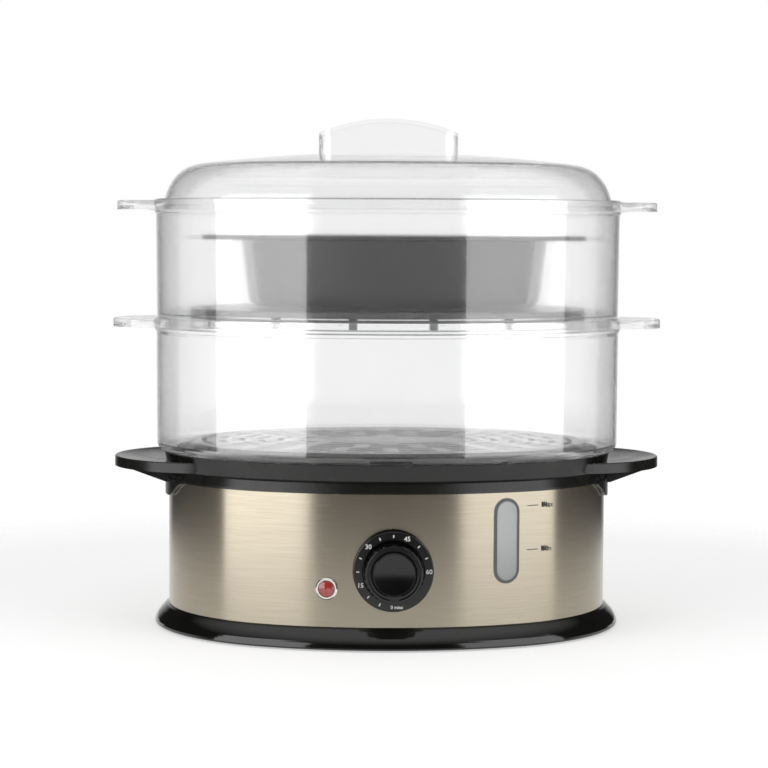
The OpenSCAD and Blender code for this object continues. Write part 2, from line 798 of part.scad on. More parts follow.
// Open cone that keeps the boiling small; water enters by the notches at its foot
module steam_sleeve() {
    wall = 2;
    low = tank_floor_z + seat_gap;
    top_r = sleeve_r - 5;
    lip = 4;
    bead = 1.6;
    notch = [14, 6];
    in_frame() color(white) difference() {
        translate([0, 0, low]) rotate_extrude() polygon([
            [sleeve_r - wall, 0], [sleeve_r + bead, 0], [sleeve_r + bead, bead],
            [sleeve_r, 1.5 * bead], [top_r, sleeve_h - 1], [top_r - 1, sleeve_h],
            [top_r - wall - lip, sleeve_h], [top_r - wall - lip, sleeve_h - wall],
            [top_r - wall, sleeve_h - wall]
        ]);
        for (a = [45, 135]) rotate([0, 0, a])
            translate([-2 * sleeve_r, -notch[0] / 2, low - 1])
                cube([4 * sleeve_r, notch[0], notch[1] + 1]);
    }
}

// ---- Drip tray ----

// Dished tray whose spigot sits in the base rim. Four raised chimneys let the steam
// through, and a big scooped handle at each end carries it.
module drip_tray() {
    wall_in = tray_flare - tray_t;
    port_angle = 72;
    port_in = chimney_in + tray_t + 0.6;
    port_out = chimney_out - tray_t - 0.6;
    in_frame() color(black) difference() {
        union() {
            oval_sweep() polygon([
                [spigot_out - tray_t, tray_floor_z], [spigot_out, tray_floor_z],
                [spigot_out, tray_z], [0.4, tray_z], [1.2, tray_z + 0.8],
                [tray_flare, tray_top_z - 0.5], [tray_flare - 0.5, tray_top_z],
                [wall_in, tray_top_z], [wall_in - 1.6, tray_z + tray_t],
                [spigot_out - tray_t + 0.6, tray_z + 0.6],
                [spigot_out - tray_t, tray_z]
            ]);
            oval_plate(spigot_out - 1, tray_floor_z, tray_floor_z + tray_floor_t);
            translate([0, 0, tray_floor_z]) difference() {
                cylinder(r = chimney_out, h = tray_floor_t + chimney_h);
                translate([0, 0, tray_floor_t])
                    cylinder(r = chimney_in, h = chimney_h + 1);
            }
            difference() {
                union() {
                    end_tabs(handle_reach, handle_r, handle_z, handle_skirt, tray_t,
                             handle_dish, 84);
                    handle_webs();
                }
                oval_plate(0.6, tray_floor_z - 10, tray_top_z + 10);
            }
        }
        translate([0, 0, tray_floor_z - 1]) rotate_extrude()
            translate([chimney_in + tray_t, 0])
                square([chimney_out - chimney_in - 2 * tray_t, tray_floor_t + chimney_h - 1]);
        for (a = [0:90:270]) rotate([0, 0, a - port_angle / 2]) translate([0, 0, tray_floor_z])
            rotate_extrude(angle = port_angle) translate([port_in, 0])
                square([port_out - port_in, tray_floor_t + chimney_h + 1]);
    }
}

// Ribs under each handle, which slope in over the base's lobes
module handle_webs() {
    top = handle_z - handle_dish - tray_t - 0.4;
    for (half = [0, 180], y = web_y) rotate([0, 0, half]) {
        root = end_x(lobe_t + 2 * seat_gap, y) + 0.3;
        tip = handle_reach - handle_r + sqrt(pow(handle_r - tray_t, 2) - y * y) - 0.5;
        translate([0, y + tray_t / 2, 0]) rotate([90, 0, 0]) linear_extrude(tray_t)
            polygon([[root - 2, top + 1], [root - 2, tray_z], [root, tray_z],
                     [root, top - web_drop], [root + 2, top - web_drop], [tip, handle_z - handle_skirt],
                     [tip, top + 1]]);
    }
}

// ---- Baskets ----

// An open basket: spigot with a ledge for the grid, flared wall, rim band and ears
module basket(low, top, spigot, foot, step, flare, reach, ledge) {
    under = low - spigot_h;
    wall_in = flare + rim_proud - rim_wall;
    stop = ledge ? wall_in - 1 - rim_wall : wall_in;
    color(clear) {
        oval_sweep() polygon(concat(
            [[-ledge_inset, under], [spigot - 0.6, under], [spigot, under + 0.6],
             [spigot, low]],
            arc(foot - step, low + step, step, -90, -10, 4),
            [[flare, top - rim_band], [flare + rim_proud, top - rim_band + 0.6],
             [flare + rim_proud, top - 0.8], [flare + rim_proud - 0.6, top],
             [wall_in, top]],
            ledge
                ? [[wall_in - 1, top - 1], [wall_in - 1, top - lid_ledge],
                   [stop, top - lid_ledge], [stop, top - lid_ledge - 1],
                   [flare - clear_t, top - lid_ledge - 4]]
                : [[wall_in, top - rim_band + 0.6], [flare - clear_t, top - rim_band - 1.6]],
            [[foot - clear_t, low + max(step, clear_t)],
             [foot - max(step, clear_t + 1), low + clear_t], [spigot - clear_t, low + 1.2],
             [spigot - clear_t, under + ledge_t], [-ledge_inset, under + ledge_t]]
        ));
        difference() {
            end_tabs(reach, tab_r(reach, flare), top - 1, ear_h, clear_t, ear_dish);
            oval_plate(flare, top - rim_band - 6, top + 6);
        }
    }
}

module lower_basket() {
    in_frame() basket(lower_z, lower_top_z, lower_spigot, lower_foot_flare, lower_step,
                      lower_flare, lower_reach, false);
}

module upper_basket() {
    in_frame() basket(upper_z, upper_top_z, upper_spigot, upper_foot_flare, upper_step,
                      upper_flare, upper_reach, true);
}

// Cuts `count` slots along each arc of the oval, between two offsets
module slot_ring(off, width, count_end, count_side, share, low, high) {
    for (half = [0, 180]) rotate([0, 0, half]) {
        for (i = [0:count_end - 1])
            translate([end_centre, 0, low])
                rotate([0, 0, join_angle * (2 * (i + (1 - share) / 2) / count_end - 1)])
                    rotate_extrude(angle = 2 * join_angle * share / count_end)
                        translate([end_r + off, 0]) square([width, high - low]);
        side_angle = 180 - 2 * join_angle;
        for (i = [0:count_side - 1])
            translate([0, -side_centre, low])
                rotate([0, 0, join_angle + side_angle * (i + (1 - share) / 2) / count_side])
                    rotate_extrude(angle = side_angle * share / count_side)
                        translate([side_r + off, 0]) square([width, high - low]);
    }
}

// Perforated floor: a rimmed plate with rings of slots, open notches in its skirt
// and two cross ribs beneath
module grid(low) {
    top = low + grid_h;
    edge = -grid_inset;
    color(smoke) difference() {
        union() {
            oval_sweep() polygon([
                [edge - clear_t, low], [edge, low], [edge, top - 0.7], [edge - 0.7, top],
                [edge - grid_edge, top], [edge - grid_edge, top - grid_t],
                [edge - clear_t, top - grid_t]
            ]);
            oval_plate(edge - grid_edge + 1, top - grid_t, top);
            for (side = [-1, 1]) translate([side * rib_x - rib_t / 2, -rib_l / 2, low + 1.5])
                cube([rib_t, rib_l, grid_h - grid_t - 1]);
        }
        slot_ring(edge - grid_edge - 1 - slot_w, slot_w, 7, 5, 0.86, top - grid_t - 1, top + 1);
        for (i = [0:ring_count - 1])
            slot_ring(edge - ring_first - ring_pitch * i, slot_w * 1.4, max(1, 6 - i),
                      max(2, 4 - floor(i / 2)), 0.72, top - grid_t - 1, top + 1);
        slot_ring(edge - clear_t - 1, clear_t + 2, 4, 3, 0.9, low - 1, low + notch_h);
    }
}

module lower_grid() {
    in_frame() grid(lower_z - spigot_h + ledge_t + seat_gap);
}

module upper_grid() {
    in_frame() grid(upper_z - spigot_h + ledge_t + seat_gap);
}

// ---- Rice bowl ----

module rice_bowl() {
    rim = -bowl_inset;
    foot = rim - bowl_draft;
    in_frame() color("#2b2b2d") translate([bowl_x, 0, 0]) {
        oval_sweep() polygon(concat(
            [[foot - bowl_corner - 4, bowl_z]],
            arc(foot - bowl_corner, bowl_z + bowl_corner, bowl_corner, -90, -5, 5),
            [[rim, bowl_top_z - 3], [rim + 2, bowl_top_z - 2.4], [rim + 2, bowl_top_z - 0.5],
             [rim + 1.5, bowl_top_z], [rim - bowl_t, bowl_top_z]],
            arc(foot - bowl_corner, bowl_z + bowl_corner, bowl_corner - bowl_t, -5, -90, 5),
            [[foot - bowl_corner - 4, bowl_z + bowl_t]]
        ));
        oval_plate(foot - bowl_corner - 3, bowl_z, bowl_z + bowl_t);
        difference() {
            end_tabs(bowl_reach, tab_r(bowl_reach, rim), bowl_top_z, bowl_grip_skirt,
                     bowl_grip_t, 1, 90);
            oval_plate(rim - bowl_t / 2, bowl_top_z - 12, bowl_top_z + 2);
        }
    }
}

// ---- Lid ----

// Dome profile: a Bezier curve up the shoulder and a flatter one over the crown, as
// [outward offset, share of the dome's height]
function dome(t) = [
    for (p = concat([for (i = [0:12]) bezier(dome_shoulder, i / 12)],
                    [for (i = [1:6]) bezier(dome_crown, i / 6)]))
        [p[0] - t, upper_top_z + 1 + (dome_h - 1) * p[1] - t]
];

module lid() {
    shell = dome(0);
    hollow = dome(clear_t);
    edge = shell[0][0];
    in_frame() color(clear) difference() {
        union() {
            oval_sweep() polygon(concat(
                [[edge - clear_t, lid_z - 4], [edge - 0.5, lid_z - 4], [edge, lid_z - 3.5],
                 [edge, lid_z], [lid_seat_out, lid_z], [lid_seat_out, lid_z + lid_flange_t],
                 [edge, lid_z + lid_flange_t + 0.5]],
                shell,
                [[-dome_end, dome_top_z - clear_t]],
                [for (i = [len(hollow) - 2:-1:1]) [hollow[i][0] + clear_t * 0.3, hollow[i][1]]],
                [[edge - clear_t, upper_top_z]]
            ));
            oval_plate(-dome_end + 1, dome_top_z - clear_t, dome_top_z);
            grip(0, dome_top_z - clear_t);
        }
        grip(clear_t, dome_top_z - clear_t - 4);
        for (side = [-1, 1], i = [-1, 1])
            translate([side * (grip_l / 2 + 16), i * 10, dome_top_z - 8])
                cylinder(r = vent_d / 2, h = 12);
    }
}

// The handle's outside for inset 0, or its hollow for an inset of one wall
module grip(inset, low) {
    half_l = grip_l / 2;
    arch_r = (half_l * half_l + grip_sag * grip_sag) / (2 * grip_sag);
    top = dome_top_z + grip_h;
    corner = 9;
    intersection() {
        translate([0, 0, low]) linear_extrude(grip_h + 12) polygon(concat(
            arc(half_l - corner, grip_w / 2 - corner, corner - inset, 0, 90),
            arc(corner - half_l, grip_w / 2 - corner, corner - inset, 90, 180),
            arc(corner - half_l, corner - grip_w / 2, corner - inset, 180, 270),
            arc(half_l - corner, corner - grip_w / 2, corner - inset, 270, 360)
        ));
        translate([0, 0, top - arch_r]) rotate([90, 0, 0])
            cylinder(r = arch_r - inset, h = grip_w + 2, center = true, $fn = 360);
    }
}

foot_ring();
bottom_plate();
rubber_feet();
base_screws();
steel_band();
reservoir();
heater();
heater_seal();
heater_screws();
thermostat();
thermal_fuse();
gauge_window();
gauge_seal();
indicator_bezel();
indicator_lens();
indicator_lamp();
timer_dial();
timer_screws();
timer_body();
timer_shaft();
timer_knob();
terminal_block();
cord_gland();
steam_sleeve();
drip_tray();
lower_basket();
lower_grid();
upper_basket();
upper_grid();
rice_bowl();
lid();
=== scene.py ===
# %% [markdown]
# # An electric food steamer
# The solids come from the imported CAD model, which already has the right shapes: oval
# rings, a dished tray, clear baskets with real wall thickness. This lesson gives each of
# them its finish, adds the printed marks that are too thin for CAD, and lights the
# steamer like a catalogue picture. Everything is in metres, in the model's own frame.

# %% Load the model
import json
import math
import bpy
from mathutils import Matrix, Vector


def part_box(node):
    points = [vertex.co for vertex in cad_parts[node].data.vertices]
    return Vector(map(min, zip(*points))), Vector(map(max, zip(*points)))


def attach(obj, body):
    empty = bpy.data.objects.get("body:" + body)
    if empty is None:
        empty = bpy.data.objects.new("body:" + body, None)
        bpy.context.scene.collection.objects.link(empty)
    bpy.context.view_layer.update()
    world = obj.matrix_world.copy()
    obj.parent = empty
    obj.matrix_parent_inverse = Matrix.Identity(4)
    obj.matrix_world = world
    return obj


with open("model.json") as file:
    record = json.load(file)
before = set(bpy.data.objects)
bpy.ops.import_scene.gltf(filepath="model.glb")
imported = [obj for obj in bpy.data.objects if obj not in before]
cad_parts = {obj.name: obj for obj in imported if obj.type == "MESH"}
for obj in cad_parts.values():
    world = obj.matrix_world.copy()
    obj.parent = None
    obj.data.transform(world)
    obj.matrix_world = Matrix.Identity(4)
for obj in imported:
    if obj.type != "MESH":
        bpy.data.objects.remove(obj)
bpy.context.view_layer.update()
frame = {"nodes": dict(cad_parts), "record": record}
MM = 0.001

# %% [markdown]
# ## Wires and paint
# A finish is arithmetic on patterns: grain plus a little dust, times a mask. Written as
# Python expressions it stays readable, so one small class wraps a node's output and
# turns sums, products and "1 - wire" into Math nodes. A second class owns a material and
# has one method that adds any other node. Numbers that never change over the surface are
# set straight on the shader, so nothing stands between them and an export.

# %% Wires and paint
class Wire:
    """A value on its way through a material; arithmetic on it adds Math nodes."""

    def __init__(self, paint, socket):
        self.paint, self.socket = paint, socket

    def _math(self, operation, first, second):
        return self.paint.node("ShaderNodeMath", {"operation": operation}, {0: first, 1: second})

    def __add__(self, other):
        return self._math("ADD", self, other)

    def __mul__(self, other):
        return self._math("MULTIPLY", self, other)

    def __rsub__(self, other):
        return self._math("SUBTRACT", other, self)

    __radd__ = __add__
    __rmul__ = __mul__


class Paint:
    """A material and its Principled shader."""

    def __init__(self, name):
        self.material = bpy.data.materials.new(name)
        self.material.use_nodes = True
        self.tree = self.material.node_tree
        self.shader = self.tree.nodes["Principled BSDF"]

    def node(self, kind, settings=None, values=None, out=0):
        """Adds a node: settings are its own properties, values feed its sockets."""
        made = self.tree.nodes.new(kind)
        for key, value in (settings or {}).items():
            setattr(made, key, value)
        for socket, value in (values or {}).items():
            self.feed(made.inputs[socket], value)
        return Wire(self, made.outputs[out])

    def feed(self, socket, value):
        """Links a wire to a socket, or writes a constant into it."""
        if isinstance(value, Wire):
            self.tree.links.new(value.socket, socket)
        else:
            socket.default_value = value

    def set(self, **sockets):
        """Sets the shader's sockets, with _ for a space: set(Base_Color=...)."""
        for name, value in sockets.items():
            self.feed(self.shader.inputs[name.replace("_", " ")], value)
        return self

    def place(self, scale=(1, 1, 1)):
        """Where a point is on its object, in metres, stretched by scale."""
        spot = self.node("ShaderNodeTexCoord", out="Object")
        return self.node("ShaderNodeMapping", None, {"Vector": spot, "Scale": scale})

    def noise(self, grain, detail=2, scale=(1, 1, 1)):
        """A 0 to 1 noise whose blotches are about one grain wide, in metres."""
        return self.node("ShaderNodeTexNoise", None,
                         {"Vector": self.place(scale), "Scale": 1 / grain, "Detail": detail})

    def span(self, value, low, high):
        """Maps the middle of a noise, 0.3 to 0.7, to low to high."""
        return self.node("ShaderNodeMapRange", None,
                         {"Value": value, "From Min": 0.3, "From Max": 0.7,
                          "To Min": low, "To Max": high})

    def blend(self, mask, first, second):
        """A colour that goes from first to second as mask goes from 0 to 1."""
        mix = self.node("ShaderNodeMix", {"data_type": "RGBA"}, {0: mask}, out=2)
        for socket, colour in zip(mix.socket.node.inputs[6:8], (first, second)):
            self.feed(socket, colour if isinstance(colour, Wire) else (*colour, 1))
        return mix

    def bump(self, height, depth, strength=1.0):
        """Relief of this depth in metres, for the shader's Normal socket."""
        return self.node("ShaderNodeBump", None,
                         {"Height": height, "Distance": depth, "Strength": strength})


FINISHES = {}


def finish(name, **sockets):
    """Starts a finish with this name and its constant sockets."""
    FINISHES[name] = Paint(name)
    return FINISHES[name].set(**sockets)


print("kit ready")

# %% [markdown]
# ## Black mouldings
# The foot ring is polished in the mould, the rim and tray are satin with a very fine
# spark-eroded grain, and the dial and knob are smoother again. All are the same nearly
# black plastic, so one function makes them from a gloss and the size of the grain. Slow
# blotches in the roughness stand for handling; without them black plastic looks like ink.

# %% Black mouldings
BLOTCH = 18 * MM
GRAIN_GLOSS = 0.04


def moulded(name, dark, light, gloss, spread, grain, depth, **more):
    """A moulded plastic: fine grain in the surface, slow blotches in colour and gloss."""
    paint = finish(name, **more)
    blotch = paint.noise(BLOTCH, 3)
    fine = paint.noise(grain, 2)
    return paint.set(
        Base_Color=paint.blend(paint.span(blotch, 0, 1), dark, light),
        Roughness=paint.span(blotch, gloss, gloss + spread) + fine * GRAIN_GLOSS,
        Normal=paint.bump(fine, depth, 0.5),
    )


moulded("gloss_black", (0.004, 0.004, 0.0035), (0.007, 0.007, 0.006),
        0.05, 0.04, 0.9 * MM, 0.003 * MM, Specular_IOR_Level=0.62)
moulded("black_plastic", (0.005, 0.005, 0.0045), (0.008, 0.008, 0.007),
        0.20, 0.08, 0.35 * MM, 0.02 * MM)
moulded("dial_black", (0.003, 0.003, 0.003), (0.005, 0.005, 0.005),
        0.12, 0.05, 0.5 * MM, 0.004 * MM)
moulded("smoke_plastic", (0.018, 0.019, 0.019), (0.028, 0.029, 0.029),
        0.16, 0.07, 0.8 * MM, 0.008 * MM)
moulded("bowl_plastic", (0.008, 0.008, 0.008), (0.013, 0.013, 0.013),
        0.30, 0.06, 1.2 * MM, 0.006 * MM, Specular_IOR_Level=0.25)
moulded("rubber", (0.012, 0.012, 0.012), (0.022, 0.021, 0.020),
        0.62, 0.12, 0.25 * MM, 0.03 * MM)
moulded("white_plastic", (0.70, 0.69, 0.65), (0.78, 0.77, 0.73),
        0.36, 0.1, 0.5 * MM, 0.02 * MM)
moulded("seal_silicone", (0.48, 0.47, 0.44), (0.56, 0.55, 0.52),
        0.5, 0.1, 0.4 * MM, 0.02 * MM)
print("mouldings:", len(FINISHES))

# %% [markdown]
# ## Metals
# The band is warm, champagne-toned stainless steel brushed round the oval, so its scratches
# are long streaks that all run level. A noise stretched along X and Y and squeezed along
# Z gives them. They tilt the surface up and down a little, which smears every highlight
# into a tall soft column, just as on the real sheet. The heater is sand-cast: a coarse,
# dull skin. Screws, timer and shaft are plain zinc plate.

# %% Metals
STREAK = (1, 1, 90)

steel = finish("brushed_steel", Metallic=1.0, Anisotropic=0.74, Anisotropic_Rotation=0.25)
coarse = steel.noise(26 * MM, 4, STREAK)
hair = steel.noise(9 * MM, 2, STREAK)
cloud = steel.noise(70 * MM, 2)
steel.set(
    Base_Color=steel.blend(steel.span(coarse, 0, 1), (0.37, 0.328, 0.256), (0.43, 0.384, 0.304)),
    Roughness=steel.span(hair, 0.20, 0.25) + cloud * 0.02,
    Normal=steel.bump(coarse * 0.6 + hair * 0.4, 0.02 * MM, 0.25),
)


def plated(name, tone, gloss, spread, grain, depth):
    """A metal skin with an even tone and a fine pitted surface."""
    paint = finish(name, Metallic=1.0)
    pits = paint.noise(grain, 3)
    return paint.set(
        Base_Color=paint.blend(paint.span(paint.noise(9 * MM, 2), 0, 1),
                               [0.9 * c for c in tone], tone),
        Roughness=paint.span(pits, gloss, gloss + spread),
        Normal=paint.bump(pits, depth, 0.5),
    )


plated("zinc_steel", (0.62, 0.63, 0.65), 0.26, 0.12, 0.5 * MM, 0.01 * MM)
plated("cast_aluminium", (0.66, 0.67, 0.68), 0.42, 0.2, 0.9 * MM, 0.06 * MM)
plated("bezel_metal", (0.80, 0.78, 0.74), 0.12, 0.06, 0.4 * MM, 0.003 * MM)
print("metals: streaks squeezed", STREAK[2], "times in height")

# %% [markdown]
# ## Clear plastics
# The baskets and the lid are clear polycarbonate, a little milky from the steam and
# lightly moulded, so what is behind them goes soft. Glass alone would be too clean: here
# the shader lets most light through, keeps a per cent or two as white haze, and has some
# roughness to blur the bowl behind the wall. The walls are real solids, so light bends
# in and out of them by itself and draws the edge lines. Full refraction draws those lines
# black, while thin moulded walls look pale. So the bending is set low, a fifth of the
# light passes straight through, and a coat gives back the polish that this takes away.
# The gauge window and the lamp's lens are thick, and bend light as such plastic does.

# %% Clear plastics
THIN_BEND, THICK_BEND = 1.12, 1.45
SOLID = 0.8
POLISH, POLISH_BEND = 0.02, 1.8
RIPPLE = 24 * MM


def clear(name, tone, haze, gloss, spread, depth, bend=THIN_BEND):
    """See-through plastic: tone tints it and haze is its share of milky white."""
    paint = finish(name, Transmission_Weight=1 - haze, IOR=bend, Alpha=SOLID,
                   Coat_Weight=1.0, Coat_Roughness=POLISH, Coat_IOR=POLISH_BEND)
    ripple = paint.noise(RIPPLE, 2)
    return paint.set(
        Base_Color=paint.blend(paint.span(ripple, 0, 1), tone, [min(1, 1.01 * c) for c in tone]),
        Roughness=paint.span(ripple, gloss, gloss + spread),
        Normal=paint.bump(ripple, depth, 0.3),
    )


clear("clear_plastic", (0.976, 0.979, 0.977), 0.015, 0.07, 0.03, 0.03 * MM)
clear("frosted_plastic", (0.970, 0.973, 0.971), 0.015, 0.17, 0.04, 0.03 * MM)
clear("gauge_clear", (0.50, 0.52, 0.51), 0.55, 0.10, 0.04, 0.01 * MM, THICK_BEND)
clear("red_lens", (0.66, 0.06, 0.045), 0.45, 0.05, 0.04, 0.01 * MM, THICK_BEND)
print("finishes:", ", ".join(sorted(FINISHES)))

# %% [markdown]
# ## Dressing the solids
# The record says which finish each solid has, so the finishes above go on by name. The
# upper basket alone is the frosted kind, because the real one blurs the bowl inside it
# more than the lower one blurs its grid.

# %% Dressing the solids
SPECIAL = {"upper_basket": "frosted_plastic"}
for part in frame["record"]["subparts"]:
    solid = frame["nodes"][part["node"]]
    choice = SPECIAL.get(part["node"], part["material_slot"])
    solid.data.materials.clear()
    solid.data.materials.append(FINISHES[choice].material)
print("dressed", len(frame["nodes"]), "solids")

# %% [markdown]
# ## Where the front is
# The band's front is an arc, and printed marks have to lie on it. Its radius is known
# from the design; the rest is read from the solids. `on_band` gives the place on the
# arc for a distance from the middle and a height, with its own Z pointing outward.

# %% Where the front is
FRONT_RADIUS = 185.66 * MM

band_low, band_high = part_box("steel_band")
front_y = band_low.y


def on_band(x, z, rise=0.0):
    """Placement on the band's front: local X to the right, Y up and Z outward."""
    turn = math.asin(x / FRONT_RADIUS)
    axis = Vector((0, front_y + FRONT_RADIUS, z))
    out = Vector((math.sin(turn), -math.cos(turn), 0))
    spot = axis + out * (FRONT_RADIUS + rise)
    right = Vector((math.cos(turn), math.sin(turn), 0))
    return Matrix((
        (right.x, 0, out.x, spot.x),
        (right.y, 0, out.y, spot.y),
        (0, 1, 0, spot.z),
        (0, 0, 0, 1),
    ))


print("front of the band at y =", round(front_y / MM, 2), "mm")

# %% [markdown]
# ## Printing
# The dial has white figures every fifteen minutes and short strokes every five; the
# gauge has two level marks with their words. Print is a film of ink, far too thin for
# CAD, so each mark is a flat shape a tenth of a millimetre thick. Strokes are made point
# by point and words come from Blender's own font, turned into meshes and joined.

# %% Printing kit
INK = 0.1 * MM
BOLD = 0.018


def ink(name, colour):
    """An even film with a slightly ragged gloss: screen-printed ink for the marks, and painted
    shade for the gauge window's dark edge.
    """
    paint = finish(name)
    speck = paint.noise(0.3 * MM, 2)
    paint.set(Base_Color=paint.blend(paint.span(speck, 0, 1), [0.92 * c for c in colour], colour),
              Roughness=paint.span(speck, 0.38, 0.5), Normal=paint.bump(speck, 0.01 * MM, 0.4))


ink("white_ink", (0.80, 0.80, 0.77))
ink("black_ink", (0.035, 0.032, 0.028))
# The grey film is painted shade, not print: it darkens the gauge window's bevelled edge.
ink("painted_shade_grey", (0.085, 0.092, 0.086))


def slab(outline, place):
    """Vertices and faces of a thin film with this outline, set at a placement."""
    count = len(outline)
    points = [place @ Vector((x, y, z)) for z in (0, INK) for x, y in outline]
    sides = [(i, (i + 1) % count, count + (i + 1) % count, count + i) for i in range(count)]
    return points, [tuple(range(count))[::-1], tuple(range(count, 2 * count)), *sides]


def film(name, slabs, finish_name, body):
    """Joins slabs into one thin film that moves with a body; most are print, the gauge window's
    edge ring is painted shade.
    """
    points, faces = [], []
    for more, sides in slabs:
        faces += [tuple(len(points) + i for i in side) for side in sides]
        points += more
    mesh = bpy.data.meshes.new(name)
    mesh.from_pydata(points, [], faces)
    mesh.materials.append(FINISHES[finish_name].material)
    piece = bpy.data.objects.new(name, mesh)
    bpy.context.scene.collection.objects.link(piece)
    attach(piece, body)
    print(name, len(faces), "faces")
    return piece


def bar(width, height):
    """Outline of a straight stroke about the origin."""
    w, h = width / 2, height / 2
    return [(-w, -h), (w, -h), (w, h), (-w, h)]


def words(name, entries, size, finish_name, body):
    """Joins short texts, each with its placement, into one printed piece."""
    slabs = []
    for text, place, align in entries:
        curve = bpy.data.curves.new(name, "FONT")
        curve.body, curve.size, curve.extrude = text, size, INK / 2
        curve.align_x, curve.align_y = align, "CENTER"
        curve.resolution_u = 3
        curve.offset = BOLD * size
        letters = bpy.data.objects.new(name, curve)
        mesh = bpy.data.meshes.new_from_object(letters)
        lift = place @ Matrix.Translation((0, 0, INK / 2))
        slabs.append(([lift @ v.co for v in mesh.vertices],
                      [tuple(p.vertices) for p in mesh.polygons]))
        bpy.data.objects.remove(letters)
        bpy.data.curves.remove(curve)
        bpy.data.meshes.remove(mesh)
    return film(name, slabs, finish_name, body)


# %% Dial figures
dial_low, dial_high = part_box("timer_dial")
DIAL_Z = (dial_low.z + dial_high.z) / 2
DIAL_RISE = front_y - dial_low.y
DIAL_R = (dial_high.z - dial_low.z) / 2
FIGURE_R = DIAL_R - 2.8 * MM
FULL_TURN = 270
MINUTES = 60
WORD_SHIFT = 2 * MM


def on_dial(minute, radius, upright=True):
    """Placement on the dial's face for a minute, counted clockwise from the bottom."""
    angle = math.radians(-90 - FULL_TURN * minute / MINUTES)
    spot = Matrix.Translation((radius * math.cos(angle), radius * math.sin(angle), 0))
    face = on_band(0, DIAL_Z, DIAL_RISE - INK / 4)
    return face @ spot if upright else face @ spot @ Matrix.Rotation(angle, 4, "Z")


figures = [(str(m), on_dial(m, FIGURE_R), "CENTER") for m in (15, 30, 45, 60)]
words("dial_figures", figures, 3.8 * MM, "white_ink", "base")
word_place = Matrix.Translation((WORD_SHIFT, 0, 0)) @ on_dial(0, FIGURE_R)
words("dial_word", [("0 mins", word_place, "CENTER")], 2.7 * MM,
      "white_ink", "base")
strokes = [slab(bar(1.7 * MM, 0.7 * MM), on_dial(m, FIGURE_R, upright=False))
           for m in range(5, MINUTES, 5) if m % 15]
film("dial_strokes", strokes, "white_ink", "base")

# %% [markdown]
# ## The water gauge
# The window is a grey lozenge in the band. Round its edge lies a dark grey ring of painted
# shade, for the dark look of the window's bevel, and two thin printed marks to its right say
# how full the tank is. The ring is a stadium shape: the same outline twice, with the band of
# film between them.

# %% The water gauge
gauge_low, gauge_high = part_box("gauge_window")
GAUGE_X = 67 * MM
GAUGE_Z = (gauge_low.z + gauge_high.z) / 2
GAUGE_H = gauge_high.z - gauge_low.z
GAUGE_W = 16.4 * MM
GAUGE_RISE = 0.6 * MM
LINE_EDGE, LINE_W = 0.2 * MM, 1.6 * MM


def stadium(width, height, steps=14):
    """Outline of an upright slot with round ends, counter-clockwise."""
    r, run = width / 2, (height - width) / 2
    half = [math.pi * i / steps for i in range(steps + 1)]
    return ([(r * math.cos(a), run + r * math.sin(a)) for a in half]
            + [(-r * math.cos(a), -run - r * math.sin(a)) for a in half])


def ring(outer, inner, place):
    """A flat film between two outlines with the same number of points."""
    count = len(outer)
    points = [place @ Vector((x, y, z)) for z in (0, INK) for x, y in [*outer, *inner]]
    faces = []
    for i in range(count):
        j = (i + 1) % count
        low_out, low_in, high_out, high_in = (
            (base + i, base + j) for base in (0, count, 2 * count, 3 * count))
        faces += [(*high_out, *high_in[::-1]), (*low_in, *low_out[::-1]),
                  (*low_out, *high_out[::-1]), (*high_in, *low_in[::-1])]
    return points, faces


# A dark grey ring of painted shade on the window's edge, where the bevel looks dark.
outer, inner = (stadium(GAUGE_W - 2 * inset, GAUGE_H - 2 * inset)
                for inset in (LINE_EDGE, LINE_EDGE + LINE_W))
film("gauge_painted_edge_shade", [ring(outer, inner, on_band(GAUGE_X, GAUGE_Z, GAUGE_RISE - INK / 4))],
     "painted_shade_grey", "base")

LEVELS = {"Max": GAUGE_Z + 20.1 * MM, "Min": GAUGE_Z - 6.0 * MM}
TICK_X, WORD_X = 83 * MM, 89 * MM
ticks = [slab(bar(7.5 * MM, 0.4 * MM), on_band(TICK_X, z, -INK / 4)) for z in LEVELS.values()]
film("gauge_ticks", ticks, "black_ink", "base")
labels = [(word, on_band(WORD_X, z, -INK / 4), "LEFT") for word, z in LEVELS.items()]
words("gauge_words", labels, 4.4 * MM, "black_ink", "base")

# %% [markdown]
# ## Floor
# A pale round table keeps the steamer's shadow. It fades out at its rim, where the white
# world takes over, so no horizon cuts through the clear baskets. The camera and mirrors
# see it a little brighter than its paint, which brings the lit part up to white and
# leaves the shadow grey. Its size shows in the knob: the dished face mirrors the table in
# its upper half and the dark room beyond the table's edge in its lower half.

# %% Floor
TABLE_NEAR, TABLE_FAR = 0.38, 0.62
GLOW = 0.46

table = Paint("table")
reach = table.node("ShaderNodeVectorMath", {"operation": "LENGTH"}, {0: table.place()}, out="Value")
fade = table.node("ShaderNodeMapRange", {"interpolation_type": "SMOOTHSTEP"},
                  {"Value": reach, "From Min": TABLE_NEAR, "From Max": TABLE_FAR})
speck = table.noise(2 * MM, 3)
ray = table.node("ShaderNodeLightPath").socket.node.outputs
seen = 1 - Wire(table, ray["Is Diffuse Ray"])
table.set(Base_Color=table.blend(speck, (0.86, 0.86, 0.86), (0.88, 0.88, 0.88)),
          Roughness=0.7, Alpha=1 - fade, Specular_IOR_Level=0.2, Emission_Strength=1.0,
          Emission_Color=table.blend(seen, (0, 0, 0), (GLOW, GLOW, GLOW)))
bpy.ops.mesh.primitive_circle_add(vertices=96, radius=TABLE_FAR, fill_type="TRIFAN")
floor = bpy.context.object
floor.name = "table_top"
floor.data.materials.append(table.material)
print("table fades out from", TABLE_NEAR, "to", TABLE_FAR, "m")

